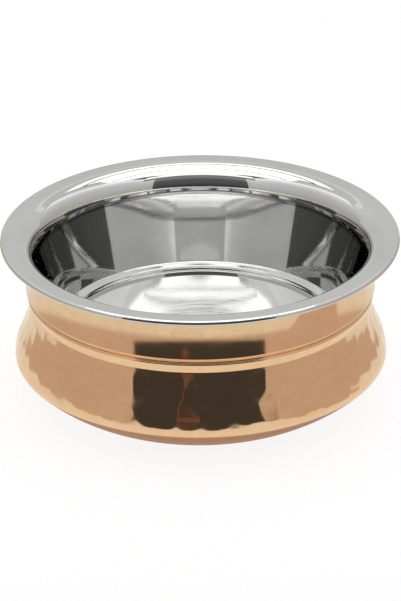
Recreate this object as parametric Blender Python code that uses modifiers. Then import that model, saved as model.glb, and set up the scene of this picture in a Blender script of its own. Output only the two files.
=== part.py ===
"""Copper handi: a double-walled serving bowl.

A steel bowl hangs inside a copper shell. The bowl's rolled rim grips the
shell's flange, and nothing else joins the two, so air lies between them.
The origin is at the middle of the base, +Z is up, and lengths are in metres.
"""
import math

import bpy

MM = 0.001

# Overall sizes
RIM_RADIUS = 80.0 * MM
HEIGHT = 67.0 * MM
STEEL = 0.6 * MM
COPPER = 0.5 * MM
CLEARANCE = 0.3 * MM

# Rim, bell and throat of the steel bowl
LIP_SLOPE = 3.0
LIP_WIDTH = 14.0 * MM
HEM_RETURN = 1.8 * MM
BELL_CURVE = 8.5 * MM
FLARE_CURVE = 15.5 * MM
FLARE_TOP_SLOPE = 30.0
FLARE_FOOT_SLOPE = 12.0
THROAT_BAND = 1.5 * MM
THROAT_ROUND = 1.5 * MM
THROAT_RADIUS = RIM_RADIUS - LIP_WIDTH

# Wall, ledge and floor of the steel bowl
WALL_DRAFT = 14.2
WALL_FOOT_ROUND = 3.0 * MM
LEDGE_WIDTH = 4.6 * MM
STEP_HEIGHT = 2.2 * MM
STEP_DRAFT = 6.0
STEP_ROUND = 0.8 * MM
STEP_FOOT_ROUND = 0.5 * MM
FLOOR_DEPTH = 41.7 * MM

# Neck of the copper shell, round the steel bowl's throat
NECK_GAP = 2.4 * MM
NECK_BEND = 4.5 * MM
WAIST_DEPTH = 12.0 * MM
WAIST_CURVE = 55.0 * MM
WAIST_RADIUS = THROAT_RADIUS + STEEL + NECK_GAP + COPPER

# Groove between the neck and the belly, and the collar under it, which slants in to a crease
GROOVE_DEPTH_BELOW_RIM = 23.3 * MM
GROOVE_FLANK = 2.2 * MM
GROOVE_CUT = 1.3 * MM
GROOVE_FLOOR_ROUND = 0.25 * MM
GROOVE_EDGE_ROUND = 0.6 * MM
COLLAR_WIDTH = 0.85 * MM
COLLAR_FALL = 0.3 * MM
COLLAR_DROP = 4.1 * MM
COLLAR_INSET = 1.1 * MM
COLLAR_ROUND = 0.6 * MM
GROOVE_HEIGHT = HEIGHT - GROOVE_DEPTH_BELOW_RIM
COLLAR_HEIGHT = GROOVE_HEIGHT - COLLAR_DROP
COLLAR_RADIUS = WAIST_RADIUS - COLLAR_INSET

# Belly of the copper shell
BELLY_DROP = 22.6 * MM
BELLY_SWELL = 6.75 * MM
SHOULDER_SLOPE = 25.5
CROWN_SLOPE = 8.0
CROWN_CURVE = 29.0 * MM
EDGE_CURVE = 4.5 * MM
BELLY_HEIGHT = COLLAR_HEIGHT - BELLY_DROP
BELLY_RADIUS = COLLAR_RADIUS + BELLY_SWELL

# Underside and base of the copper shell
UNDERSIDE_CURVE = 64.0 * MM
FOOT_ROUND = 15.0 * MM
BASE_RADIUS = 50.0 * MM
FOOT_WIDTH = 8.0 * MM
BASE_RECESS = 0.8 * MM
RECESS_RUN = 2.0 * MM

# Facets
TURN_STEPS = 56
BROAD_ARC_STEP = 7.0
TIGHT_ARC_STEP = 36.0
HEM_ARC_STEP = 30.0

# The hem is folded round the flange, and the mid-plane of both passes through its centre
HEM_RADIUS = STEEL + CLEARANCE + COPPER / 2
HEM_CENTRE = (RIM_RADIUS - HEM_RADIUS, HEIGHT - HEM_RADIUS)


def unit(angle):
    """Direction of a surface's normal: 0 points away from the axis, 90 points up."""
    turned = math.radians(angle)
    return math.cos(turned), math.sin(turned)


def moved(point, distance, angle):
    """The point at a distance from another, along a direction."""
    across, up = unit(angle)
    return point[0] + distance * across, point[1] + distance * up


def arc(centre, radius, start, end, step):
    """Points round a centre, from the start angle to the end angle."""
    count = max(1, round(abs(end - start) / step))
    return [moved(centre, radius, start + (end - start) * i / count) for i in range(count + 1)]


def hollow_arc(centre, radius, start, end, step):
    """Points of a stretch that curves round a centre outside the metal, by its normal's angles."""
    return arc(centre, radius, start + 180.0, end + 180.0, step)


def arc_reach(radius, start, end):
    """How far out and how far up an arc leads, from the start angle to the end angle."""
    first = unit(start)
    last = unit(end)
    return radius * (last[0] - first[0]), radius * (last[1] - first[1])


def angle_between(start, end):
    return math.degrees(math.atan2(end[1] - start[1], end[0] - start[0]))


def rounded(before, corner, after, radius, step):
    """An arc in place of a corner, tangent to the lines to the points before and after it."""
    towards = math.radians(angle_between(corner, before))
    away = math.radians(angle_between(corner, after))
    opening = (away - towards + math.pi) % (2 * math.pi) - math.pi
    reach = radius / math.sin(abs(opening) / 2)
    centre = moved(corner, reach, math.degrees(towards + opening / 2))
    side = math.copysign(90.0, opening)
    start = math.degrees(towards) - side
    turn = math.copysign(180.0, opening) - math.degrees(opening)
    return arc(centre, radius, start, start - turn, step)


def centre_above(first, first_distance, second, second_distance):
    """The upper of the two points that lie at these distances from two others."""
    apart = math.dist(first, second)
    along = (apart ** 2 + first_distance ** 2 - second_distance ** 2) / (2 * apart)
    aside = math.sqrt(first_distance ** 2 - along ** 2)
    bearing = angle_between(first, second)
    return moved(moved(first, along, bearing), aside, bearing + 90.0)


def bowl_profile():
    """The steel bowl's visible side, from the middle of its floor out to the end of its hem."""
    # The lip rises outward at its slope, and below it the bell and the flare turn down to the throat
    lip_turn = 90.0 + LIP_SLOPE
    bell_turn = 180.0 - FLARE_TOP_SLOPE
    flare_turn = 180.0 - FLARE_FOOT_SLOPE
    lip_end = moved(HEM_CENTRE, HEM_RADIUS, lip_turn)
    flare_out, flare_up = arc_reach(FLARE_CURVE, flare_turn, bell_turn)
    bell_out, bell_up = arc_reach(BELL_CURVE, bell_turn, lip_turn)
    lip_drop = (lip_end[0] - THROAT_RADIUS - flare_out - bell_out) * math.tan(math.radians(LIP_SLOPE))
    throat_top = (THROAT_RADIUS, lip_end[1] - lip_drop - bell_up - flare_up)
    throat_foot = (THROAT_RADIUS, throat_top[1] - THROAT_BAND)
    flare_centre = moved(throat_top, FLARE_CURVE, -FLARE_FOOT_SLOPE)
    bell_centre = moved(flare_centre, FLARE_CURVE - BELL_CURVE, bell_turn)
    flare_tangent = moved(throat_top, FLARE_CURVE, flare_turn - 90.0)
    hem_end = moved(moved(HEM_CENTRE, HEM_RADIUS, lip_turn - 180.0), HEM_RETURN, 180.0 + LIP_SLOPE)

    # The wall is drawn in from the throat to a ledge, and the floor lies a step below it
    floor_height = HEIGHT - FLOOR_DEPTH
    ledge_height = floor_height + STEP_HEIGHT
    wall_run = (throat_foot[1] - ledge_height) * math.tan(math.radians(WALL_DRAFT))
    wall_foot = (THROAT_RADIUS - wall_run, ledge_height)
    step_high = (wall_foot[0] - LEDGE_WIDTH, ledge_height)
    step_low = (step_high[0] - STEP_HEIGHT * math.tan(math.radians(STEP_DRAFT)), floor_height)
    middle = (0.0, floor_height)

    points = [middle]
    points += rounded(middle, step_low, step_high, STEP_FOOT_ROUND, TIGHT_ARC_STEP)
    points += rounded(step_low, step_high, wall_foot, STEP_ROUND, TIGHT_ARC_STEP)
    points += rounded(step_high, wall_foot, throat_foot, WALL_FOOT_ROUND, TIGHT_ARC_STEP)
    points += rounded(wall_foot, throat_foot, throat_top, THROAT_ROUND, TIGHT_ARC_STEP)
    points += rounded(throat_foot, throat_top, flare_tangent, THROAT_ROUND, TIGHT_ARC_STEP)
    points += arc(flare_centre, FLARE_CURVE, flare_turn, bell_turn, BROAD_ARC_STEP)[1:]
    points += arc(bell_centre, BELL_CURVE, bell_turn, lip_turn, TIGHT_ARC_STEP / 2)[1:]
    points += arc(HEM_CENTRE, HEM_RADIUS, lip_turn, lip_turn - 180.0, HEM_ARC_STEP)
    points += [hem_end]
    return points


def neck_profile():
    """The copper's flange and waisted neck, down to the groove's upper edge."""
    under = LIP_SLOPE - 90.0
    flange_end = moved(HEM_CENTRE, COPPER / 2, under)
    waist_centre = (WAIST_RADIUS + WAIST_CURVE, HEIGHT - WAIST_DEPTH)

    # The bend's centre is on a line below the flange and at a fixed distance from the waist's centre
    inward = unit(180.0 + LIP_SLOPE)
    start = moved(flange_end, NECK_BEND, under)
    offset = (start[0] - waist_centre[0], start[1] - waist_centre[1])
    along = offset[0] * inward[0] + offset[1] * inward[1]
    away = offset[0] ** 2 + offset[1] ** 2 - (WAIST_CURVE - NECK_BEND) ** 2
    run = math.sqrt(along ** 2 - away) - along
    bend_centre = (start[0] + run * inward[0], start[1] + run * inward[1])
    meet = angle_between(bend_centre, waist_centre)

    edge_height = GROOVE_HEIGHT + GROOVE_FLANK
    low = math.degrees(math.asin((waist_centre[1] - edge_height) / WAIST_CURVE))
    points = [flange_end]
    points += hollow_arc(bend_centre, NECK_BEND, under, meet, TIGHT_ARC_STEP / 2)
    points += hollow_arc(waist_centre, WAIST_CURVE, meet, low, BROAD_ARC_STEP / 2)[1:]
    return points


def groove_profile(above, upper_edge, floor, lower_edge, collar):
    """The groove pressed round the neck's foot, down to the narrow top of the collar."""
    points = rounded(above, upper_edge, floor, GROOVE_EDGE_ROUND, TIGHT_ARC_STEP)
    points += rounded(upper_edge, floor, lower_edge, GROOVE_FLOOR_ROUND, TIGHT_ARC_STEP)
    points += rounded(floor, lower_edge, collar, GROOVE_EDGE_ROUND, TIGHT_ARC_STEP)
    return points


def belly_profile(lower_edge, collar):
    """The belly, from the collar's crease down and in to the foot."""
    edge_centre = (BELLY_RADIUS - EDGE_CURVE, BELLY_HEIGHT)
    crown_centre = moved(edge_centre, EDGE_CURVE - CROWN_CURVE, CROWN_SLOPE)
    crown_top = moved(crown_centre, CROWN_CURVE, SHOULDER_SLOPE)

    # The shoulder's hollow arc leaves the crown along its tangent and reaches the collar
    out = unit(SHOULDER_SLOPE)
    chord = (collar[0] - crown_top[0], collar[1] - crown_top[1])
    shoulder_curve = (chord[0] ** 2 + chord[1] ** 2) / (2 * (chord[0] * out[0] + chord[1] * out[1]))
    shoulder_centre = moved(crown_top, shoulder_curve, SHOULDER_SLOPE)
    shoulder_start = angle_between(collar, shoulder_centre)
    shoulder = hollow_arc(shoulder_centre, shoulder_curve, shoulder_start, SHOULDER_SLOPE, BROAD_ARC_STEP)

    # The underside's arc runs out of the edge's round and on into the foot's, which ends on the base
    foot_centre = (BASE_RADIUS, FOOT_ROUND)
    from_foot = UNDERSIDE_CURVE - FOOT_ROUND
    from_edge = UNDERSIDE_CURVE - EDGE_CURVE
    under_centre = centre_above(foot_centre, from_foot, edge_centre, from_edge)
    edge_end = angle_between(under_centre, edge_centre)
    under_end = angle_between(under_centre, foot_centre)

    points = rounded(lower_edge, collar, shoulder[1], COLLAR_ROUND, TIGHT_ARC_STEP)
    points += shoulder[1:]
    points += arc(crown_centre, CROWN_CURVE, SHOULDER_SLOPE, CROWN_SLOPE, BROAD_ARC_STEP)[1:]
    points += arc(edge_centre, EDGE_CURVE, CROWN_SLOPE, edge_end, TIGHT_ARC_STEP / 2)[1:]
    points += arc(under_centre, UNDERSIDE_CURVE, edge_end, under_end, BROAD_ARC_STEP)[1:]
    points += arc(foot_centre, FOOT_ROUND, under_end, -90.0, BROAD_ARC_STEP)[1:]
    return points


def shell_profile():
    """The copper shell's visible side, from the flange in the hem down to the middle of its base."""
    neck = neck_profile()
    upper_edge = neck[-1]
    groove_floor = (upper_edge[0] - GROOVE_CUT, GROOVE_HEIGHT)
    lower_edge = (groove_floor[0] + COLLAR_WIDTH, GROOVE_HEIGHT - COLLAR_FALL)
    collar = (COLLAR_RADIUS, COLLAR_HEIGHT)
    recess_edge = BASE_RADIUS - FOOT_WIDTH

    points = neck[:-1]
    points += groove_profile(neck[-2], upper_edge, groove_floor, lower_edge, collar)
    points += belly_profile(lower_edge, collar)
    points += [(recess_edge, 0.0), (recess_edge - RECESS_RUN, BASE_RECESS), (0.0, BASE_RECESS)]
    return points


def metal(name, colour, roughness):
    material = bpy.data.materials.new(name)
    material.use_nodes = True
    shader = material.node_tree.nodes["Principled BSDF"]
    shader.inputs["Base Color"].default_value = (*colour, 1.0)
    shader.inputs["Metallic"].default_value = 1.0
    shader.inputs["Roughness"].default_value = roughness
    material.diffuse_color = (*colour, 1.0)
    return material


def turned_sheet(name, profile, thickness, material, collection):
    """A sheet turned round the Z axis, whose thickness lies behind the profile's visible side."""
    mesh = bpy.data.meshes.new(name)
    mesh.from_pydata([(r, 0.0, z) for r, z in profile], [(i, i + 1) for i in range(len(profile) - 1)], [])
    mesh.materials.append(material)
    sheet = bpy.data.objects.new(name, mesh)
    collection.objects.link(sheet)

    screw = sheet.modifiers.new("Turn", "SCREW")
    screw.axis = "Z"
    screw.angle = 2 * math.pi
    screw.steps = TURN_STEPS
    screw.render_steps = TURN_STEPS
    screw.use_merge_vertices = True
    screw.merge_threshold = 0.00001
    screw.use_smooth_shade = True

    solidify = sheet.modifiers.new("Thickness", "SOLIDIFY")
    solidify.thickness = thickness
    solidify.offset = -1.0
    solidify.use_even_offset = True
    return sheet


def build():
    for thing in list(bpy.data.objects):
        bpy.data.objects.remove(thing, do_unlink=True)
    handi = bpy.data.collections.new("Copper handi")
    bpy.context.scene.collection.children.link(handi)

    steel = metal("Polished steel", (0.70, 0.70, 0.68), 0.12)
    copper = metal("Polished copper", (0.86, 0.58, 0.36), 0.14)
    turned_sheet("inner_bowl", bowl_profile(), STEEL, steel, handi)
    turned_sheet("outer_shell", shell_profile(), COPPER, copper, handi)


build()
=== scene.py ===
"""Looks of the copper handi: its two sheets at full smoothness, a light tent and the camera.

Profiles are in millimetres, as the frame has them, and every object is in metres.
"""
import math

import bmesh
import bpy
import numpy as np
from mathutils import Euler, Matrix


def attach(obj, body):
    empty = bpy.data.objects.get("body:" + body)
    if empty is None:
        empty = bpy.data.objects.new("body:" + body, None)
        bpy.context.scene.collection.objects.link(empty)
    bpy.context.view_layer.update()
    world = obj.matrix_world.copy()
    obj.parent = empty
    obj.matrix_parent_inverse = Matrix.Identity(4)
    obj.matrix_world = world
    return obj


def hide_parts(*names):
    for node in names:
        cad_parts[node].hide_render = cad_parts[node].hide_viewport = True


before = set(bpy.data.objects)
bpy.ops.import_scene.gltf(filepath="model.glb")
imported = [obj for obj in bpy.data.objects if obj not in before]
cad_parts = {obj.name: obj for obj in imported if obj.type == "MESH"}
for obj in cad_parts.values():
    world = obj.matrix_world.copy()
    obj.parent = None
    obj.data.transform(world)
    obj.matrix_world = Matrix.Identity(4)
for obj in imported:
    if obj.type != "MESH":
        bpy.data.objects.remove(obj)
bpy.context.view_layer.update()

MM = 0.001

# Overall sizes
RIM_RADIUS = 80.0
HEIGHT = 67.0
STEEL = 0.6
COPPER = 0.5
CLEARANCE = 0.3

# Rim, bell and throat of the steel bowl
LIP_SLOPE = 3.0
LIP_WIDTH = 14.0
HEM_RETURN = 1.8
BELL_CURVE = 8.5
FLARE_CURVE = 15.5
FLARE_TOP_SLOPE = 30.0
FLARE_FOOT_SLOPE = 12.0
THROAT_BAND = 1.5
THROAT_ROUND = 1.5
THROAT_RADIUS = RIM_RADIUS - LIP_WIDTH
HEM_RADIUS = STEEL + CLEARANCE + COPPER / 2
HEM_CENTRE = (RIM_RADIUS - HEM_RADIUS, HEIGHT - HEM_RADIUS)

# Wall, ledge and floor of the steel bowl. Two slight bends part the wall into three stretches
LOWER_DRAFT = 14.55
LOWER_STRETCH = 9.0
LOWER_BEND_CURVE = 1600.0
WALL_DRAFT = 14.85
UPPER_BEND_CURVE = 600.0
UPPER_STRETCH = 7.0
UPPER_DRAFT = 14.1
WALL_FOOT_ROUND = 0.5
LEDGE_WIDTH = 4.3
STEP_HEIGHT = 2.2
STEP_DRAFT = 3.0
STEP_ROUND = 0.25
STEP_FOOT_ROUND = 0.2
FLOOR_DEPTH = 41.7

# Neck and groove of the copper shell
NECK_GAP = 2.4
NECK_BEND = 4.5
WAIST_DEPTH = 12.0
WAIST_CURVE = 55.0
WAIST_RADIUS = THROAT_RADIUS + STEEL + NECK_GAP + COPPER
GROOVE_DEPTH_BELOW_RIM = 23.3
GROOVE_FLANK = 2.2
GROOVE_CUT = 1.3
GROOVE_FLOOR_ROUND = 0.25
GROOVE_EDGE_ROUND = 0.6
COLLAR_WIDTH = 0.85
COLLAR_FALL = 0.3
COLLAR_DROP = 4.1
COLLAR_INSET = 1.1
COLLAR_ROUND = 0.6
GROOVE_HEIGHT = HEIGHT - GROOVE_DEPTH_BELOW_RIM
COLLAR_HEIGHT = GROOVE_HEIGHT - COLLAR_DROP
COLLAR_RADIUS = WAIST_RADIUS - COLLAR_INSET

# Belly and base of the copper shell
BELLY_DROP = 22.6
BELLY_SWELL = 6.75
SHOULDER_SLOPE = 25.5
CROWN_SLOPE = 8.0
CROWN_CURVE = 29.0
EDGE_CURVE = 4.5
BELLY_HEIGHT = COLLAR_HEIGHT - BELLY_DROP
BELLY_RADIUS = COLLAR_RADIUS + BELLY_SWELL
UNDERSIDE_CURVE = 64.0
FOOT_ROUND = 15.0
BASE_RADIUS = 50.0
FOOT_WIDTH = 8.0
BASE_RECESS = 0.8
RECESS_RUN = 2.0

# Fineness of the meshes: steps in a turn, degrees between an arc's points, and mm between others
TURN_STEPS = 540
LOWER_BEND_STEP = 0.05
UPPER_BEND_STEP = 0.1
NECK_ARC_STEP = 0.5
BROAD_ARC_STEP = 1.0
BELL_ARC_STEP = 2.0
FINE_ARC_STEP = 3.0
TIGHT_ARC_STEP = 6.0
HEM_ARC_STEP = 12.0
STEEL_SPACING = 1.0
COPPER_SPACING = 0.6
HIDDEN_SPACING = 6.0

# Points that lie as near as this are one: in mm in a profile, and in m in a mesh
SAME_PLACE = 1e-6
WELD_DISTANCE = 1e-7

# Hammer marks round the belly. Shifts are shares of a mark's own room, and lifts above 0 make it shallower
MARK_WIDTH = 8.0
MARK_HEIGHT = 13.0
MARK_DEPTH = 0.24
MARK_ROW_SHIFT = 0.35
MARK_COLUMN_SHIFT = 0.4
MARK_LIFTS = (-0.5, 0.3)
MARK_BLEND = 5
MARK_REACH = 1.6
MARK_PEAK = -0.6
MARK_FADE = 4.0
MARK_PAST_EDGE = 1.0
MARK_LEVEL = 0.5
NO_MARK = 1e9
MARK_SEED = 4

# Waves of the spun steel: the height of each in mm, its count in a turn, its drift in mm and its start
WAVES = ((0.0030, 3, 9.0, 0.4), (0.0016, 7, -5.0, 1.9), (0.0008, 13, 3.0, 2.7))
WAVE_FADE = 20.0

# How far the spun waves sink the surface, which keeps their crests inside the bowl's own size
WAVE_SINK = 0.006


def unit(angle):
    """Direction of a surface's normal: 0 points away from the axis, 90 points up."""
    turned = math.radians(angle)
    return math.cos(turned), math.sin(turned)


def moved(point, distance, angle):
    across, up = unit(angle)
    return point[0] + distance * across, point[1] + distance * up


def arc(centre, radius, start, end, step):
    count = max(1, round(abs(end - start) / step))
    return [moved(centre, radius, start + (end - start) * i / count) for i in range(count + 1)]


def hollow_arc(centre, radius, start, end, step):
    """Points of a stretch that curves round a centre outside the metal, by its normal's angles."""
    return arc(centre, radius, start + 180.0, end + 180.0, step)


def arc_reach(radius, start, end):
    first = unit(start)
    last = unit(end)
    return radius * (last[0] - first[0]), radius * (last[1] - first[1])


def angle_between(start, end):
    return math.degrees(math.atan2(end[1] - start[1], end[0] - start[0]))


def rounded(before, corner, after, radius, step):
    """An arc in place of a corner, tangent to the lines to the points before and after it."""
    towards = math.radians(angle_between(corner, before))
    away = math.radians(angle_between(corner, after))
    opening = (away - towards + math.pi) % (2 * math.pi) - math.pi
    reach = radius / math.sin(abs(opening) / 2)
    centre = moved(corner, reach, math.degrees(towards + opening / 2))
    side = math.copysign(90.0, opening)
    start = math.degrees(towards) - side
    turn = math.copysign(180.0, opening) - math.degrees(opening)
    return arc(centre, radius, start, start - turn, step)


def centre_above(first, first_distance, second, second_distance):
    """The upper of the two points that lie at these distances from two others."""
    apart = math.dist(first, second)
    along = (apart ** 2 + first_distance ** 2 - second_distance ** 2) / (2 * apart)
    aside = math.sqrt(first_distance ** 2 - along ** 2)
    bearing = angle_between(first, second)
    return moved(moved(first, along, bearing), aside, bearing + 90.0)


def bowl_profile():
    """The steel bowl's visible side, from the middle of its floor out to the end of its hem."""
    lip_turn = 90.0 + LIP_SLOPE
    bell_turn = 180.0 - FLARE_TOP_SLOPE
    flare_turn = 180.0 - FLARE_FOOT_SLOPE
    lip_end = moved(HEM_CENTRE, HEM_RADIUS, lip_turn)
    flare_out, flare_up = arc_reach(FLARE_CURVE, flare_turn, bell_turn)
    bell_out, bell_up = arc_reach(BELL_CURVE, bell_turn, lip_turn)
    lip_drop = (lip_end[0] - THROAT_RADIUS - flare_out - bell_out) * math.tan(math.radians(LIP_SLOPE))
    throat_top = (THROAT_RADIUS, lip_end[1] - lip_drop - bell_up - flare_up)
    throat_foot = (THROAT_RADIUS, throat_top[1] - THROAT_BAND)
    flare_centre = moved(throat_top, FLARE_CURVE, -FLARE_FOOT_SLOPE)
    bell_centre = moved(flare_centre, FLARE_CURVE - BELL_CURVE, bell_turn)
    flare_tangent = moved(throat_top, FLARE_CURVE, flare_turn - 90.0)
    hem_end = moved(moved(HEM_CENTRE, HEM_RADIUS, lip_turn - 180.0), HEM_RETURN, 180.0 + LIP_SLOPE)

    floor_height = HEIGHT - FLOOR_DEPTH
    ledge_height = floor_height + STEP_HEIGHT
    upper_height = throat_foot[1] - UPPER_STRETCH
    lower_height = ledge_height + LOWER_STRETCH
    upper_bend = (THROAT_RADIUS - UPPER_STRETCH * math.tan(math.radians(UPPER_DRAFT)), upper_height)
    middle_run = (upper_height - lower_height) * math.tan(math.radians(WALL_DRAFT))
    lower_bend = (upper_bend[0] - middle_run, lower_height)
    wall_foot = (lower_bend[0] - LOWER_STRETCH * math.tan(math.radians(LOWER_DRAFT)), ledge_height)
    step_high = (wall_foot[0] - LEDGE_WIDTH, ledge_height)
    step_low = (step_high[0] - STEP_HEIGHT * math.tan(math.radians(STEP_DRAFT)), floor_height)
    middle = (0.0, floor_height)

    points = [middle]
    points += rounded(middle, step_low, step_high, STEP_FOOT_ROUND, TIGHT_ARC_STEP)
    points += rounded(step_low, step_high, wall_foot, STEP_ROUND, TIGHT_ARC_STEP)
    points += rounded(step_high, wall_foot, lower_bend, WALL_FOOT_ROUND, FINE_ARC_STEP)
    points += rounded(wall_foot, lower_bend, upper_bend, LOWER_BEND_CURVE, LOWER_BEND_STEP)
    points += rounded(lower_bend, upper_bend, throat_foot, UPPER_BEND_CURVE, UPPER_BEND_STEP)
    points += rounded(upper_bend, throat_foot, throat_top, THROAT_ROUND, FINE_ARC_STEP)
    points += rounded(throat_foot, throat_top, flare_tangent, THROAT_ROUND, FINE_ARC_STEP)
    points += arc(flare_centre, FLARE_CURVE, flare_turn, bell_turn, BROAD_ARC_STEP)[1:]
    points += arc(bell_centre, BELL_CURVE, bell_turn, lip_turn, BELL_ARC_STEP)[1:]
    points += arc(HEM_CENTRE, HEM_RADIUS, lip_turn, lip_turn - 180.0, HEM_ARC_STEP)
    points += [hem_end]
    return points


def neck_profile():
    """The copper's flange and waisted neck, down to the groove's upper edge."""
    under = LIP_SLOPE - 90.0
    flange_end = moved(HEM_CENTRE, COPPER / 2, under)
    waist_centre = (WAIST_RADIUS + WAIST_CURVE, HEIGHT - WAIST_DEPTH)
    inward = unit(180.0 + LIP_SLOPE)
    start = moved(flange_end, NECK_BEND, under)
    offset = (start[0] - waist_centre[0], start[1] - waist_centre[1])
    along = offset[0] * inward[0] + offset[1] * inward[1]
    away = offset[0] ** 2 + offset[1] ** 2 - (WAIST_CURVE - NECK_BEND) ** 2
    run = math.sqrt(along ** 2 - away) - along
    bend_centre = (start[0] + run * inward[0], start[1] + run * inward[1])
    meet = angle_between(bend_centre, waist_centre)
    edge_height = GROOVE_HEIGHT + GROOVE_FLANK
    low = math.degrees(math.asin((waist_centre[1] - edge_height) / WAIST_CURVE))
    points = [flange_end]
    points += hollow_arc(bend_centre, NECK_BEND, under, meet, FINE_ARC_STEP)
    points += hollow_arc(waist_centre, WAIST_CURVE, meet, low, NECK_ARC_STEP)[1:]
    return points


def groove_profile(above, upper_edge, deepest, lower_edge, collar):
    """The groove pressed round the neck's foot, down to the narrow top of the collar."""
    points = rounded(above, upper_edge, deepest, GROOVE_EDGE_ROUND, TIGHT_ARC_STEP)
    points += rounded(upper_edge, deepest, lower_edge, GROOVE_FLOOR_ROUND, TIGHT_ARC_STEP)
    points += rounded(deepest, lower_edge, collar, GROOVE_EDGE_ROUND, TIGHT_ARC_STEP)
    return points


def belly_profile(lower_edge, collar):
    """The belly, from the collar's crease down and in to the foot."""
    edge_centre = (BELLY_RADIUS - EDGE_CURVE, BELLY_HEIGHT)
    crown_centre = moved(edge_centre, EDGE_CURVE - CROWN_CURVE, CROWN_SLOPE)
    crown_top = moved(crown_centre, CROWN_CURVE, SHOULDER_SLOPE)
    out = unit(SHOULDER_SLOPE)
    chord = (collar[0] - crown_top[0], collar[1] - crown_top[1])
    shoulder_curve = (chord[0] ** 2 + chord[1] ** 2) / (2 * (chord[0] * out[0] + chord[1] * out[1]))
    shoulder_centre = moved(crown_top, shoulder_curve, SHOULDER_SLOPE)
    shoulder_start = angle_between(collar, shoulder_centre)
    shoulder = hollow_arc(shoulder_centre, shoulder_curve, shoulder_start, SHOULDER_SLOPE, BROAD_ARC_STEP)
    foot_centre = (BASE_RADIUS, FOOT_ROUND)
    from_foot = UNDERSIDE_CURVE - FOOT_ROUND
    from_edge = UNDERSIDE_CURVE - EDGE_CURVE
    under_centre = centre_above(foot_centre, from_foot, edge_centre, from_edge)
    edge_end = angle_between(under_centre, edge_centre)
    under_end = angle_between(under_centre, foot_centre)
    points = rounded(lower_edge, collar, shoulder[1], COLLAR_ROUND, TIGHT_ARC_STEP)
    points += shoulder[2:]
    points += arc(crown_centre, CROWN_CURVE, SHOULDER_SLOPE, CROWN_SLOPE, BROAD_ARC_STEP)[1:]
    points += arc(edge_centre, EDGE_CURVE, CROWN_SLOPE, edge_end, FINE_ARC_STEP)[1:]
    points += arc(under_centre, UNDERSIDE_CURVE, edge_end, under_end, BROAD_ARC_STEP)[1:]
    points += arc(foot_centre, FOOT_ROUND, under_end, -90.0, FINE_ARC_STEP)[1:]
    return points


def shell_profile():
    """The copper shell's visible side, from the flange in the hem down to the middle of its base."""
    neck = neck_profile()
    upper_edge = neck[-1]
    deepest = (upper_edge[0] - GROOVE_CUT, GROOVE_HEIGHT)
    lower_edge = (deepest[0] + COLLAR_WIDTH, GROOVE_HEIGHT - COLLAR_FALL)
    collar = (COLLAR_RADIUS, COLLAR_HEIGHT)
    recess_edge = BASE_RADIUS - FOOT_WIDTH
    points = neck[:-1]
    points += groove_profile(neck[-2], upper_edge, deepest, lower_edge, collar)
    points += belly_profile(lower_edge, collar)
    points += [(recess_edge, 0.0), (recess_edge - RECESS_RUN, BASE_RECESS), (0.0, BASE_RECESS)]
    return points


def spread(points, most):
    """The profile with extra points wherever two lie further apart than most."""
    result = [points[0]]
    for a, b in zip(points, points[1:]):
        length = math.dist(a, b)
        if length < SAME_PLACE:
            continue
        count = max(1, math.ceil(length / most))
        for i in range(1, count + 1):
            t = i / count
            result.append((a[0] + (b[0] - a[0]) * t, a[1] + (b[1] - a[1]) * t))
    return np.array(result)


def normals(profile):
    """The visible side's normal at each point of a profile, as (outward, up)."""
    step = np.diff(profile, axis=0)
    step /= np.linalg.norm(step, axis=1)[:, None]
    side = np.stack([-step[:, 1], step[:, 0]], 1)
    mean = np.concatenate([side[:1], side[:-1] + side[1:], side[-1:]])
    return mean / np.linalg.norm(mean, axis=1)[:, None]


def sheet(name, points, spacing, thickness, relief):
    """A closed turned sheet, whose visible side is pushed along its normal by the relief."""
    front = spread(points, spacing)
    behind = spread(points, HIDDEN_SPACING)
    behind = behind - normals(behind) * thickness
    turn = np.arange(TURN_STEPS) * 2 * math.pi / TURN_STEPS
    shown = front[:, None, :] + normals(front)[:, None, :] * relief(front, turn)[:, :, None]
    hidden = np.repeat(behind[::-1, None, :], TURN_STEPS, 1)
    grid = np.concatenate([shown, hidden])
    r = np.maximum(grid[:, :, 0], 0.0) * MM
    vertices = np.stack([r * np.cos(turn), r * np.sin(turn), grid[:, :, 1] * MM], 2).reshape(-1, 3)

    rows = len(grid)
    on_axis = np.abs(grid[:, 0, 0]) < SAME_PLACE
    column = np.arange(TURN_STEPS)
    following = (column + 1) % TURN_STEPS
    faces = []
    for a in range(rows):
        b = (a + 1) % rows
        if on_axis[a] and on_axis[b]:
            continue
        a_row = a * TURN_STEPS
        b_row = b * TURN_STEPS
        faces.append(np.stack([a_row + column, b_row + column, b_row + following, a_row + following], 1))
    mesh = bpy.data.meshes.new(name)
    mesh.from_pydata(vertices.tolist(), [], np.concatenate(faces).tolist())
    work = bmesh.new()
    work.from_mesh(mesh)
    bmesh.ops.remove_doubles(work, verts=work.verts, dist=WELD_DISTANCE)
    bmesh.ops.recalc_face_normals(work, faces=work.faces)
    work.to_mesh(mesh)
    work.free()
    mesh.shade_smooth()
    piece = bpy.data.objects.new(name, mesh)
    bpy.context.scene.collection.objects.link(piece)
    return piece


def smooth_step(value):
    value = np.clip(value, 0.0, 1.0)
    return value * value * (3 - 2 * value)


def run_along(profile):
    return np.concatenate([[0.0], np.cumsum(np.linalg.norm(np.diff(profile, axis=0), axis=1))])


def run_at(profile, radius, height):
    """How far along a profile its nearest point to a place lies."""
    nearest = np.argmin(np.hypot(profile[:, 0] - radius, profile[:, 1] - height))
    return run_along(profile)[nearest]


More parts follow.
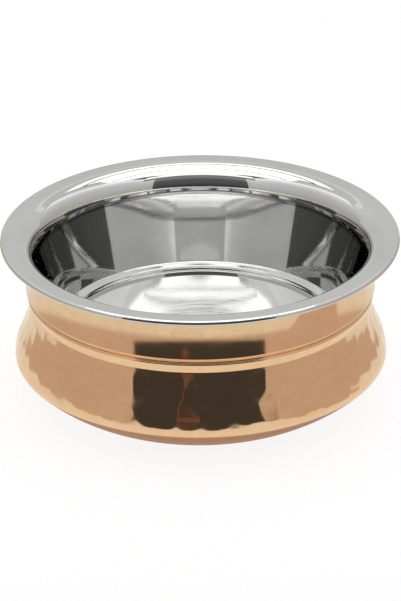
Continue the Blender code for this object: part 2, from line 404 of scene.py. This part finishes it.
def hammer_marks(profile, turn):
    """Relief of the belly: shallow dents that overlap, and fade out at the collar and the edge."""
    rng = np.random.default_rng(MARK_SEED)
    run = run_along(profile)
    top = run_at(profile, COLLAR_RADIUS, COLLAR_HEIGHT)
    bottom = run_at(profile, BELLY_RADIUS, BELLY_HEIGHT)
    rows = max(1, round((bottom - top) / MARK_HEIGHT))
    columns = round(2 * math.pi * BELLY_RADIUS / MARK_WIDTH)
    nearest = np.full((len(run), len(turn)), NO_MARK)
    for i in range(-1, rows + 1):
        for c in range(columns):
            at = top + (bottom - top) * (i + 0.5 + rng.uniform(-MARK_ROW_SHIFT, MARK_ROW_SHIFT)) / rows
            column = c + 0.5 * (i % 2) + rng.uniform(-MARK_COLUMN_SHIFT, MARK_COLUMN_SHIFT)
            angle = 2 * math.pi * column / columns
            lift = rng.uniform(*MARK_LIFTS)
            across = ((turn[None, :] - angle + math.pi) % (2 * math.pi) - math.pi) * BELLY_RADIUS
            down = (run - at)[:, None]
            square = (across / (MARK_WIDTH / 2)) ** 2 + (down / (MARK_HEIGHT / 2)) ** 2 + lift
            nearest = -np.logaddexp(-nearest * MARK_BLEND, -square * MARK_BLEND) / MARK_BLEND
    dent = 1.0 - np.clip(nearest, MARK_PEAK, MARK_REACH) / MARK_REACH
    fade = smooth_step((run - top) / MARK_FADE) * smooth_step((bottom + MARK_PAST_EDGE - run) / MARK_FADE)
    return -MARK_DEPTH * (dent - MARK_LEVEL) * fade[:, None]


def spun_waves(profile, turn):
    """Relief of the spun steel: waves of a few microns that run round it and drift along it."""
    run = run_along(profile)[:, None]
    turn = turn[None, :]
    waves = sum(height * np.sin(count * turn + run / drift + start) for height, count, drift, start in WAVES)
    far_from_axis = smooth_step(profile[:, 0] / WAVE_FADE)[:, None]
    return waves * far_from_axis - WAVE_SINK


# Spans of values, of which the first three are read from a noise
NOISE_CORE = (0.35, 0.65)
NOISE_WIDE = (0.3, 0.7)
NOISE_HIGH = (0.35, 0.7)
ZERO_TO_ONE = (0.0, 1.0)
ONE_TO_ZERO = (1.0, 0.0)

# The least radius that a direction round the axis is worked out from
AXIS_GAP = 0.05


class Graph:
    """The nodes of a material or a world, added by short calls that return their output sockets."""

    def __init__(self, owner, shader="Principled BSDF"):
        owner.use_nodes = True
        self.owner = owner
        self.tree = owner.node_tree
        self.shader = self.tree.nodes[shader]

    def add(self, kind, inputs, output=0, **settings):
        node = self.tree.nodes.new(kind)
        for key, value in settings.items():
            setattr(node, key, value)
        for key, value in inputs.items():
            self.put(node.inputs[key], value)
        return node.outputs[output]

    def put(self, socket, value):
        if isinstance(value, bpy.types.NodeSocket):
            self.tree.links.new(value, socket)
        else:
            socket.default_value = value

    def math(self, operation, first, second=0.0):
        return self.add("ShaderNodeMath", {0: first, 1: second}, operation=operation)

    def vector(self, x, y, z):
        return self.add("ShaderNodeCombineXYZ", {0: x, 1: y, 2: z})

    def noise(self, place, detail=2.0, roughness=0.5, distortion=0.0):
        return self.add("ShaderNodeTexNoise", {"Vector": place, "Scale": 1.0, "Detail": detail,
                                               "Roughness": roughness, "Distortion": distortion})

    def fit(self, value, span, result):
        """A span of the value, stretched or squeezed to another one."""
        return self.add("ShaderNodeMapRange", {"Value": value, "From Min": span[0], "From Max": span[1],
                                               "To Min": result[0], "To Max": result[1]})

    def blend(self, factor, first, second):
        """A mix of two colours. Its colour sockets are inputs 6 and 7, and output 2."""
        a, b = [(*c, 1.0) if isinstance(c, tuple) else c for c in (first, second)]
        return self.add("ShaderNodeMix", {0: factor, 6: a, 7: b}, output=2, data_type="RGBA")

    def turned_place(self):
        """Sockets of a place on a turned sheet: its direction's x and y, and its radius and height in mm."""
        place = self.add("ShaderNodeTexCoord", {}, output="Object")
        scaled = self.add("ShaderNodeVectorMath", {0: place, "Scale": 1 / MM}, operation="SCALE")
        node = self.tree.nodes.new("ShaderNodeSeparateXYZ")
        self.put(node.inputs[0], scaled)
        x, y, z = node.outputs
        square = self.math("ADD", self.math("MULTIPLY", x, x), self.math("MULTIPLY", y, y))
        radius = self.math("MAXIMUM", self.math("SQRT", square), AXIS_GAP)
        return self.math("DIVIDE", x, radius), self.math("DIVIDE", y, radius), radius, z

    def round_lines(self, place, run, around, along, **settings):
        """Noise that is as fine round the axis and along the profile as these two values say."""
        x, y = place[0], place[1]
        drawn = self.vector(self.math("MULTIPLY", x, around), self.math("MULTIPLY", y, around),
                            self.math("MULTIPLY", run, along))
        return self.noise(drawn, **settings)

    def metal(self, tint, dull, relief, bump_distance):
        """Makes the shader a bare metal's, and returns the finished material."""
        bump = self.add("ShaderNodeBump", {"Strength": 1.0, "Distance": bump_distance, "Height": relief})
        self.put(self.shader.inputs["Base Color"], tint)
        self.put(self.shader.inputs["Roughness"], dull)
        self.put(self.shader.inputs["Normal"], bump)
        self.put(self.shader.inputs["Metallic"], 1.0)
        return self.owner


# The steel's finish
STEEL_DARK = (0.64, 0.64, 0.63)
STEEL_LIGHT = (0.68, 0.68, 0.672)
STEEL_LINE_DULLNESS = (-0.01, 0.02)
STEEL_BAND_DULLNESS = (0.015, 0.045)
STEEL_LINE_SHARE = 0.6
STEEL_HATCH_SHARE = 0.4
STEEL_BUMP = 0.0000015

# A dark reflection painted round the throat's crease: its heights, outer edge, tint and streaks
THROAT_REFLECTION_FOOT = 55.4
THROAT_REFLECTION_TOP = 56.7
THROAT_REFLECTION_BLUR = 0.4
THROAT_REFLECTION_REACH = (THROAT_RADIUS + 1.5, THROAT_RADIUS + 2.5)
THROAT_REFLECTION_TINT = (0.17, 0.17, 0.17)
THROAT_REFLECTION_STREAKS = (0.45, 0.95)


def polished_steel():
    g = Graph(bpy.data.materials.new("polished steel"))
    place = g.turned_place()
    radius, height = place[2:]
    run = g.math("ADD", radius, height)
    broad = g.round_lines(place, run, around=3.0, along=0.06, detail=3.0)
    lines = g.round_lines(place, run, around=2.5, along=4.0, detail=3.0, roughness=0.7)
    hatch = g.round_lines(place, run, around=140.0, along=0.10, detail=2.0, roughness=0.6)
    bands = g.round_lines(place, run, around=1.2, along=0.7, detail=2.0)
    streaks = g.round_lines(place, run, around=1.5, along=1.6, detail=2.0)

    tint = g.blend(g.fit(broad, NOISE_CORE, ZERO_TO_ONE), STEEL_DARK, STEEL_LIGHT)
    # A dark reflection is painted into the tint as a band round the throat's crease
    below_top = g.fit(height, (THROAT_REFLECTION_TOP, THROAT_REFLECTION_TOP + THROAT_REFLECTION_BLUR), ONE_TO_ZERO)
    above_foot = g.fit(height, (THROAT_REFLECTION_FOOT - THROAT_REFLECTION_BLUR, THROAT_REFLECTION_FOOT), ZERO_TO_ONE)
    inside = g.fit(radius, THROAT_REFLECTION_REACH, ONE_TO_ZERO)
    band = g.math("MULTIPLY", g.math("MULTIPLY", below_top, above_foot), inside)
    band = g.math("MULTIPLY", band, g.fit(streaks, NOISE_CORE, THROAT_REFLECTION_STREAKS))
    tint = g.blend(band, tint, THROAT_REFLECTION_TINT)

    line_dullness = g.fit(lines, NOISE_WIDE, STEEL_LINE_DULLNESS)
    dull = g.math("ADD", line_dullness, g.fit(bands, NOISE_CORE, STEEL_BAND_DULLNESS))
    relief = g.math("MULTIPLY", lines, STEEL_LINE_SHARE)
    relief = g.math("ADD", relief, g.math("MULTIPLY", hatch, STEEL_HATCH_SHARE))
    return g.metal(tint, dull, relief, STEEL_BUMP)


# The copper's finish
COPPER_YELLOW = (0.88, 0.60, 0.365)
COPPER_RED = (0.87, 0.565, 0.35)
COPPER_DARK = (0.83, 0.54, 0.33)
COPPER_LINE_DULLNESS = (-0.015, 0.03)
COPPER_MOTTLE_DULLNESS = (0.06, 0.12)
COPPER_LINE_SHARE = 0.6
COPPER_BUMP = 0.000006


def polished_copper():
    g = Graph(bpy.data.materials.new("polished copper"))
    place = g.turned_place()
    radius, height = place[2:]
    run = g.math("SUBTRACT", height, radius)
    broad = g.round_lines(place, run, around=2.2, along=0.05, detail=3.0, distortion=0.4)
    lines = g.round_lines(place, run, around=2.5, along=5.0, detail=3.0, roughness=0.7)
    mottle = g.round_lines(place, run, around=14.0, along=0.20, detail=4.0, roughness=0.55, distortion=0.6)

    warm = g.blend(g.fit(broad, NOISE_CORE, ZERO_TO_ONE), COPPER_YELLOW, COPPER_RED)
    tint = g.blend(g.fit(mottle, NOISE_HIGH, ZERO_TO_ONE), warm, COPPER_DARK)
    line_dullness = g.fit(lines, NOISE_WIDE, COPPER_LINE_DULLNESS)
    dull = g.math("ADD", line_dullness, g.fit(mottle, NOISE_WIDE, COPPER_MOTTLE_DULLNESS))
    relief = g.math("ADD", g.math("MULTIPLY", lines, COPPER_LINE_SHARE), mottle)
    return g.metal(tint, dull, relief, COPPER_BUMP)


def sheets():
    bowl = sheet("bowl", bowl_profile(), STEEL_SPACING, STEEL, spun_waves)
    bowl.data.materials.append(polished_steel())
    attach(bowl, "root")
    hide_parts("inner_bowl")

    shell = sheet("shell", shell_profile(), COPPER_SPACING, COPPER, hammer_marks)
    shell.data.materials.append(polished_copper())
    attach(shell, "root")
    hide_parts("outer_shell")


# Camera
CAMERA_DISTANCE = 20 * RIM_RADIUS * MM
CAMERA_ELEVATION = 24.83
CAMERA_EXTRA_PITCH = 0.91
CAMERA_ROLL = -0.53
IMAGE_HEIGHT = 601
FOCAL_PIXELS = 3998.0
SENSOR = 36.0
CAMERA_REACH = 50.0


def camera():
    data = bpy.data.cameras.new("camera")
    data.sensor_width = SENSOR
    data.sensor_height = SENSOR
    data.sensor_fit = "AUTO"
    data.lens = FOCAL_PIXELS / IMAGE_HEIGHT * SENSOR
    data.clip_end = CAMERA_REACH
    made = bpy.data.objects.new("camera", data)
    bpy.context.scene.collection.objects.link(made)
    rise = math.radians(CAMERA_ELEVATION)
    aim_height = HEM_CENTRE[1] * MM
    made.location = (0.0, -CAMERA_DISTANCE * math.cos(rise), aim_height + CAMERA_DISTANCE * math.sin(rise))
    tilt = math.radians(90.0 - CAMERA_ELEVATION - CAMERA_EXTRA_PITCH)
    turned = Euler((tilt, 0, 0)).to_matrix() @ Matrix.Rotation(math.radians(CAMERA_ROLL), 3, "Z")
    made.rotation_euler = turned.to_euler()
    bpy.context.scene.camera = made


# Light tent: a box of glowing cloth under a round roof, with a dark opening in front
TENT_SIDE = 0.22
TENT_BACK = 0.28
TENT_FRONT = -0.22
TENT_TOP = 0.40
SIDE_TOP = 0.345
OPENING_LEFT = -0.168
OPENING_RIGHT = 0.158
OPENING_TOP = 0.27

# Roof: the right half of its outline, its dark back edges, and the cloth behind it
ROOF_SIDE = ((0.10, -0.25), (0.165, -0.153), (0.181, -0.139), (0.198, -0.124), (0.209, -0.11),
             (0.22, -0.097), (0.232, -0.075), (0.243, -0.05), (0.25, -0.02), (0.235, 0.02),
             (0.168, 0.12), (0.17, 0.279))
ROOF_EDGE = 0.013
ROOF_EDGE_START = 0.10
ROOF_LAYER = 0.002
BACKING_HALF = 0.35

# The roof's seams: how far back each lies, half the length of a straight one, and its width
STRAIGHT_SEAMS = ((-0.001, 0.235, 0.020), (0.187, 0.17, 0.020))
BOWED_SEAMS = ((-0.193, 0.0018), (-0.1805, 0.0030))
SEAM_BOW = 1.8
SEAM_REACH = 0.21
SEAM_STEPS = 48
SEAM_GLOW = 0.12

# The right half of a lighter patch on the back, with a raised corner
BACK_PATCH = ((0, 0.2775), (0.09, 0.279), (0.15, 0.290), (0.17, 0.290), (0.19, 0.278), (0.19, 0.256),
              (0, 0.254))
BACK_PATCH_GLOW = 0.92

# Darker places of the table: one on its right, and the edge of the one in front
TABLE_SHADE = ((0.116, -0.05), (0.123, -0.085), (0.15, -0.15), (0.22, -0.15), (0.22, -0.02),
               (0.135, -0.02))
DARK_EDGE = ((-0.125, -0.168), (-0.09, -0.179), (-0.05, -0.187), (0, -0.19), (0.05, -0.187),
             (0.085, -0.179), (0.117, -0.168))

# How far a card lies in front of the one behind it
CARD_LIFT = 0.0003

# Dim warm things in the opening: the left, right, lower and upper edge of each, and its glow
WARM_THINGS = (("post", (-0.038, -0.027, 0.004, 0.020), (0.20, 0.10, 0.05)),
               ("head", (-0.046, -0.014, 0.026, 0.042), (0.17, 0.10, 0.07)),
               ("strip", (-0.036, -0.029, 0.042, 0.095), (0.28, 0.10, 0.05)))

# What a glow's distance is measured from and along, and the most that it reads
BASE_MIDDLE = (0, 0, 0)
FRONT_MIDDLE = (0, TENT_FRONT, 0)
UPWARDS = (0, 0, 1)
BACKWARDS = (0, 1, 0)
OUTWARDS = (1, 1, 0)
GLOW_REACH = 0.50

# Glow of the tent's cloth, where 1 is white: a distance and the glow there
WARM_GLOW = (0.61, 0.52, 0.46)
CREAM_GLOW = (0.81, 0.86, 0.82)
ROOF_STOPS = ((0.012, 0.20), (0.02, 2.3), (0.25, 2.3), (0.38, 1.75))
BACKING_STOPS = ((0.05, 0.20), (0.09, 1.15), (0.21, 1.15), (0.26, 0.74), (GLOW_REACH, 0.74))
BACK_STOPS = ((0.055, 0.95), (0.09, 0.68), (0.18, 0.70), (0.235, 0.76), (0.28, 0.70), (0.40, 0.72))
SIDE_STOPS = ((0.065, WARM_GLOW), (0.10, (0.59, 0.53, 0.48)), (0.14, 0.62), (0.20, 0.70), (0.27, 0.90),
              (0.30, 1.20), (0.345, 1.30))
FRONT_STOPS = ((0.27, 0.15), (0.305, 0.35), (0.335, 1.7))
OPENING_STOPS = ((0.09, 0.055), (0.14, 0.11), (0.20, 0.13), (0.25, 0.32))
# On the table, the first two stops are a painted shadow of the object round its base, and the warm stops are
# painted light thrown back by the copper
TABLE_STOPS = ((0, (0.40, 0.29, 0.23)), (0.066, (0.43, 0.30, 0.23)), (0.074, (0.92, 0.91, 0.85)),
               (0.175, CREAM_GLOW), (0.185, WARM_GLOW), (0.40, WARM_GLOW))


def patch(name, corners, material):
    """A flat piece of the stage. The camera sees none of them, apart from the floor."""
    mesh = bpy.data.meshes.new(name)
    mesh.from_pydata(corners, [], [tuple(range(len(corners)))])
    mesh.materials.append(material)
    made = bpy.data.objects.new(name, mesh)
    bpy.context.scene.collection.objects.link(made)
    made.visible_camera = False
    return made


def card(name, low, high, material):
    """A rectangle between two corners that share one coordinate."""
    flat = [i for i in range(3) if low[i] == high[i]][0]
    u, v = [i for i in range(3) if i != flat]
    corners = []
    for a, b in ((0, 0), (1, 0), (1, 1), (0, 1)):
        corner = list(low)
        corner[u] = (low, high)[a][u]
        corner[v] = (low, high)[b][v]
        corners.append(corner)
    return patch(name, corners, material)


def glow(name, stops, origin=BASE_MIDDLE, along=UPWARDS):
    """Glowing cloth, whose colour changes with its distance from an origin, measured along some axes.

    The stops are pairs of that distance, in m, and a glow, which is a grey or a colour."""
    g = Graph(bpy.data.materials.new(name))
    place = g.add("ShaderNodeNewGeometry", {}, output="Position")
    offset = g.add("ShaderNodeVectorMath", {0: place, 1: origin}, operation="SUBTRACT")
    measured = g.add("ShaderNodeVectorMath", {0: offset, 1: along}, operation="MULTIPLY")
    distance = g.add("ShaderNodeVectorMath", {0: measured}, output="Value", operation="LENGTH")
    ramp = g.tree.nodes.new("ShaderNodeValToRGB")
    g.put(ramp.inputs[0], g.math("DIVIDE", distance, GLOW_REACH))
    for i, (at, colour) in enumerate(stops):
        element = ramp.color_ramp.elements[i] if i < 2 else ramp.color_ramp.elements.new(1.0)
        element.position = at / GLOW_REACH
        element.color = (*colour, 1.0) if isinstance(colour, tuple) else (colour, colour, colour, 1.0)
    emission = g.add("ShaderNodeEmission", {"Color": ramp.outputs[0]})
    g.put(g.tree.nodes["Material Output"].inputs["Surface"], emission)
    g.tree.nodes.remove(g.shader)
    return g.owner


def even_glow(name, strength):
    """Cloth that glows alike all over."""
    return glow(name, ((0, strength), (GLOW_REACH, strength)))


def both_sides(half):
    """A whole outline, from the points of its right half."""
    return [*half, *((-x, y) for x, y in reversed(half))]


def roof():
    """The roof with its seams, its dark back edges and the cloth behind it."""
    cloth = glow("roof", ROOF_STOPS, FRONT_MIDDLE, BACKWARDS)
    patch("roof", [(x, y, TENT_TOP) for x, y in both_sides(ROOF_SIDE)], cloth)

    seam = even_glow("seam", SEAM_GLOW)
    under = TENT_TOP - ROOF_LAYER
    for y, half, width in STRAIGHT_SEAMS:
        card("seam", (-half, y - width / 2, under), (half, y + width / 2, under), seam)
    for y, width in BOWED_SEAMS:
        across = [SEAM_REACH * (2 * i / SEAM_STEPS - 1) for i in range(SEAM_STEPS + 1)]
        line = [(x, y + SEAM_BOW * x * x) for x in across]
        for a, b in zip(line, line[1:]):
            corners = [(a[0], a[1] - width / 2, under), (b[0], b[1] - width / 2, under),
                       (b[0], b[1] + width / 2, under), (a[0], a[1] + width / 2, under)]
            patch("bowed_seam", corners, seam)

    over = TENT_TOP + ROOF_LAYER
    reach = ROOF_SIDE[-1][0] + ROOF_EDGE
    card("roof_edge", (-reach, ROOF_EDGE_START, over), (reach, TENT_BACK, over), seam)
    above = over + ROOF_LAYER
    backing = glow("backing", BACKING_STOPS, FRONT_MIDDLE, BACKWARDS)
    card("backing", (-BACKING_HALF, -BACKING_HALF, above), (BACKING_HALF, BACKING_HALF, above), backing)


def walls(dark):
    """The back with its lighter patch, the sides, and the front round its dark opening."""
    card("back", (-TENT_SIDE, TENT_BACK, 0), (TENT_SIDE, TENT_BACK, TENT_TOP), glow("back", BACK_STOPS))
    corners = [(x, TENT_BACK - CARD_LIFT, z) for x, z in both_sides(BACK_PATCH)]
    patch("back_patch", corners, even_glow("back_patch", BACK_PATCH_GLOW))
    side = glow("side", SIDE_STOPS)
    for way, inner in ((-1, OPENING_LEFT), (1, OPENING_RIGHT)):
        x = way * TENT_SIDE
        card("side", (x, TENT_FRONT, 0), (x, TENT_BACK, SIDE_TOP), side)
        card("front_side", (min(inner, x), TENT_FRONT, 0), (max(inner, x), TENT_FRONT, OPENING_TOP), side)
    front = glow("front", FRONT_STOPS)
    card("front_top", (-TENT_SIDE, TENT_FRONT, OPENING_TOP), (TENT_SIDE, TENT_FRONT, TENT_TOP), front)
    card("opening", (OPENING_LEFT, TENT_FRONT, 0), (OPENING_RIGHT, TENT_FRONT, OPENING_TOP), dark)
    y = TENT_FRONT + CARD_LIFT
    for name, (left, right, foot, top), strength in WARM_THINGS:
        card(name, (left, y, foot), (right, y, top), even_glow(name, strength))


def table(dark):
    """The table as the polished sheets show it. It doesn't light the floor that the camera sees."""
    cloth = glow("table", TABLE_STOPS, along=OUTWARDS)
    low = (-TENT_SIDE, TENT_FRONT, CARD_LIFT)
    pieces = [card("table", low, (TENT_SIDE, TENT_BACK, CARD_LIFT), cloth)]
    shade = even_glow("table_shade", WARM_GLOW)
    dark_edge = (*DARK_EDGE, (OPENING_RIGHT, TENT_FRONT), (OPENING_LEFT, TENT_FRONT))
    for name, outline, material in (("table_shade", TABLE_SHADE, shade), ("dark_table", dark_edge, dark)):
        pieces.append(patch(name, [(x, y, 2 * CARD_LIFT) for x, y in outline], material))
    for piece in pieces:
        piece.visible_diffuse = False
        piece.visible_shadow = False


def tent():
    dark = glow("opening", OPENING_STOPS)
    roof()
    walls(dark)
    table(dark)


# Floor and background. What the camera is shown of the floor is a weak shade and a strong glow
FLOOR_HALF = 4.0
FLOOR_COLOUR = 0.75
FLOOR_SHOWN_COLOUR = 0.14
FLOOR_SHOWN_GLOW = 0.89
FLOOR_DULLNESS = 0.9
WHITE = (1, 1, 1, 1)
WORLD_LIGHT = 0.8


def floor():
    """The white floor. It takes the object's shadow, and shows the camera a faint one."""
    g = Graph(bpy.data.materials.new("floor"))
    made = card("floor", (-FLOOR_HALF, -FLOOR_HALF, 0), (FLOOR_HALF, FLOOR_HALF, 0), g.owner)
    made.visible_camera = True
    to_camera = g.add("ShaderNodeLightPath", {}, output="Is Camera Ray")
    colour = g.fit(to_camera, ZERO_TO_ONE, (FLOOR_COLOUR, FLOOR_SHOWN_COLOUR))
    strength = g.fit(to_camera, ZERO_TO_ONE, (0.0, FLOOR_SHOWN_GLOW))
    g.put(g.shader.inputs["Base Color"], colour)
    g.put(g.shader.inputs["Emission Color"], WHITE)
    g.put(g.shader.inputs["Emission Strength"], strength)
    g.put(g.shader.inputs["Roughness"], FLOOR_DULLNESS)
    g.put(g.shader.inputs["Specular IOR Level"], 0.0)


def background():
    """White to the camera and in the sheets, and a little less as a light."""
    g = Graph(bpy.data.worlds.new("background"), "Background")
    kinds = ("Is Camera Ray", "Is Glossy Ray", "Is Transmission Ray")
    camera_ray, glossy_ray, clear_ray = [g.add("ShaderNodeLightPath", {}, output=kind) for kind in kinds]
    seen = g.math("ADD", g.math("ADD", camera_ray, glossy_ray), clear_ray)
    g.put(g.shader.inputs["Color"], WHITE)
    g.put(g.shader.inputs["Strength"], g.fit(seen, ZERO_TO_ONE, (WORLD_LIGHT, 1.0)))
    bpy.context.scene.world = g.owner


sheets()
camera()
tent()
floor()
background()
bpy.context.scene.view_settings.view_transform = "Standard"
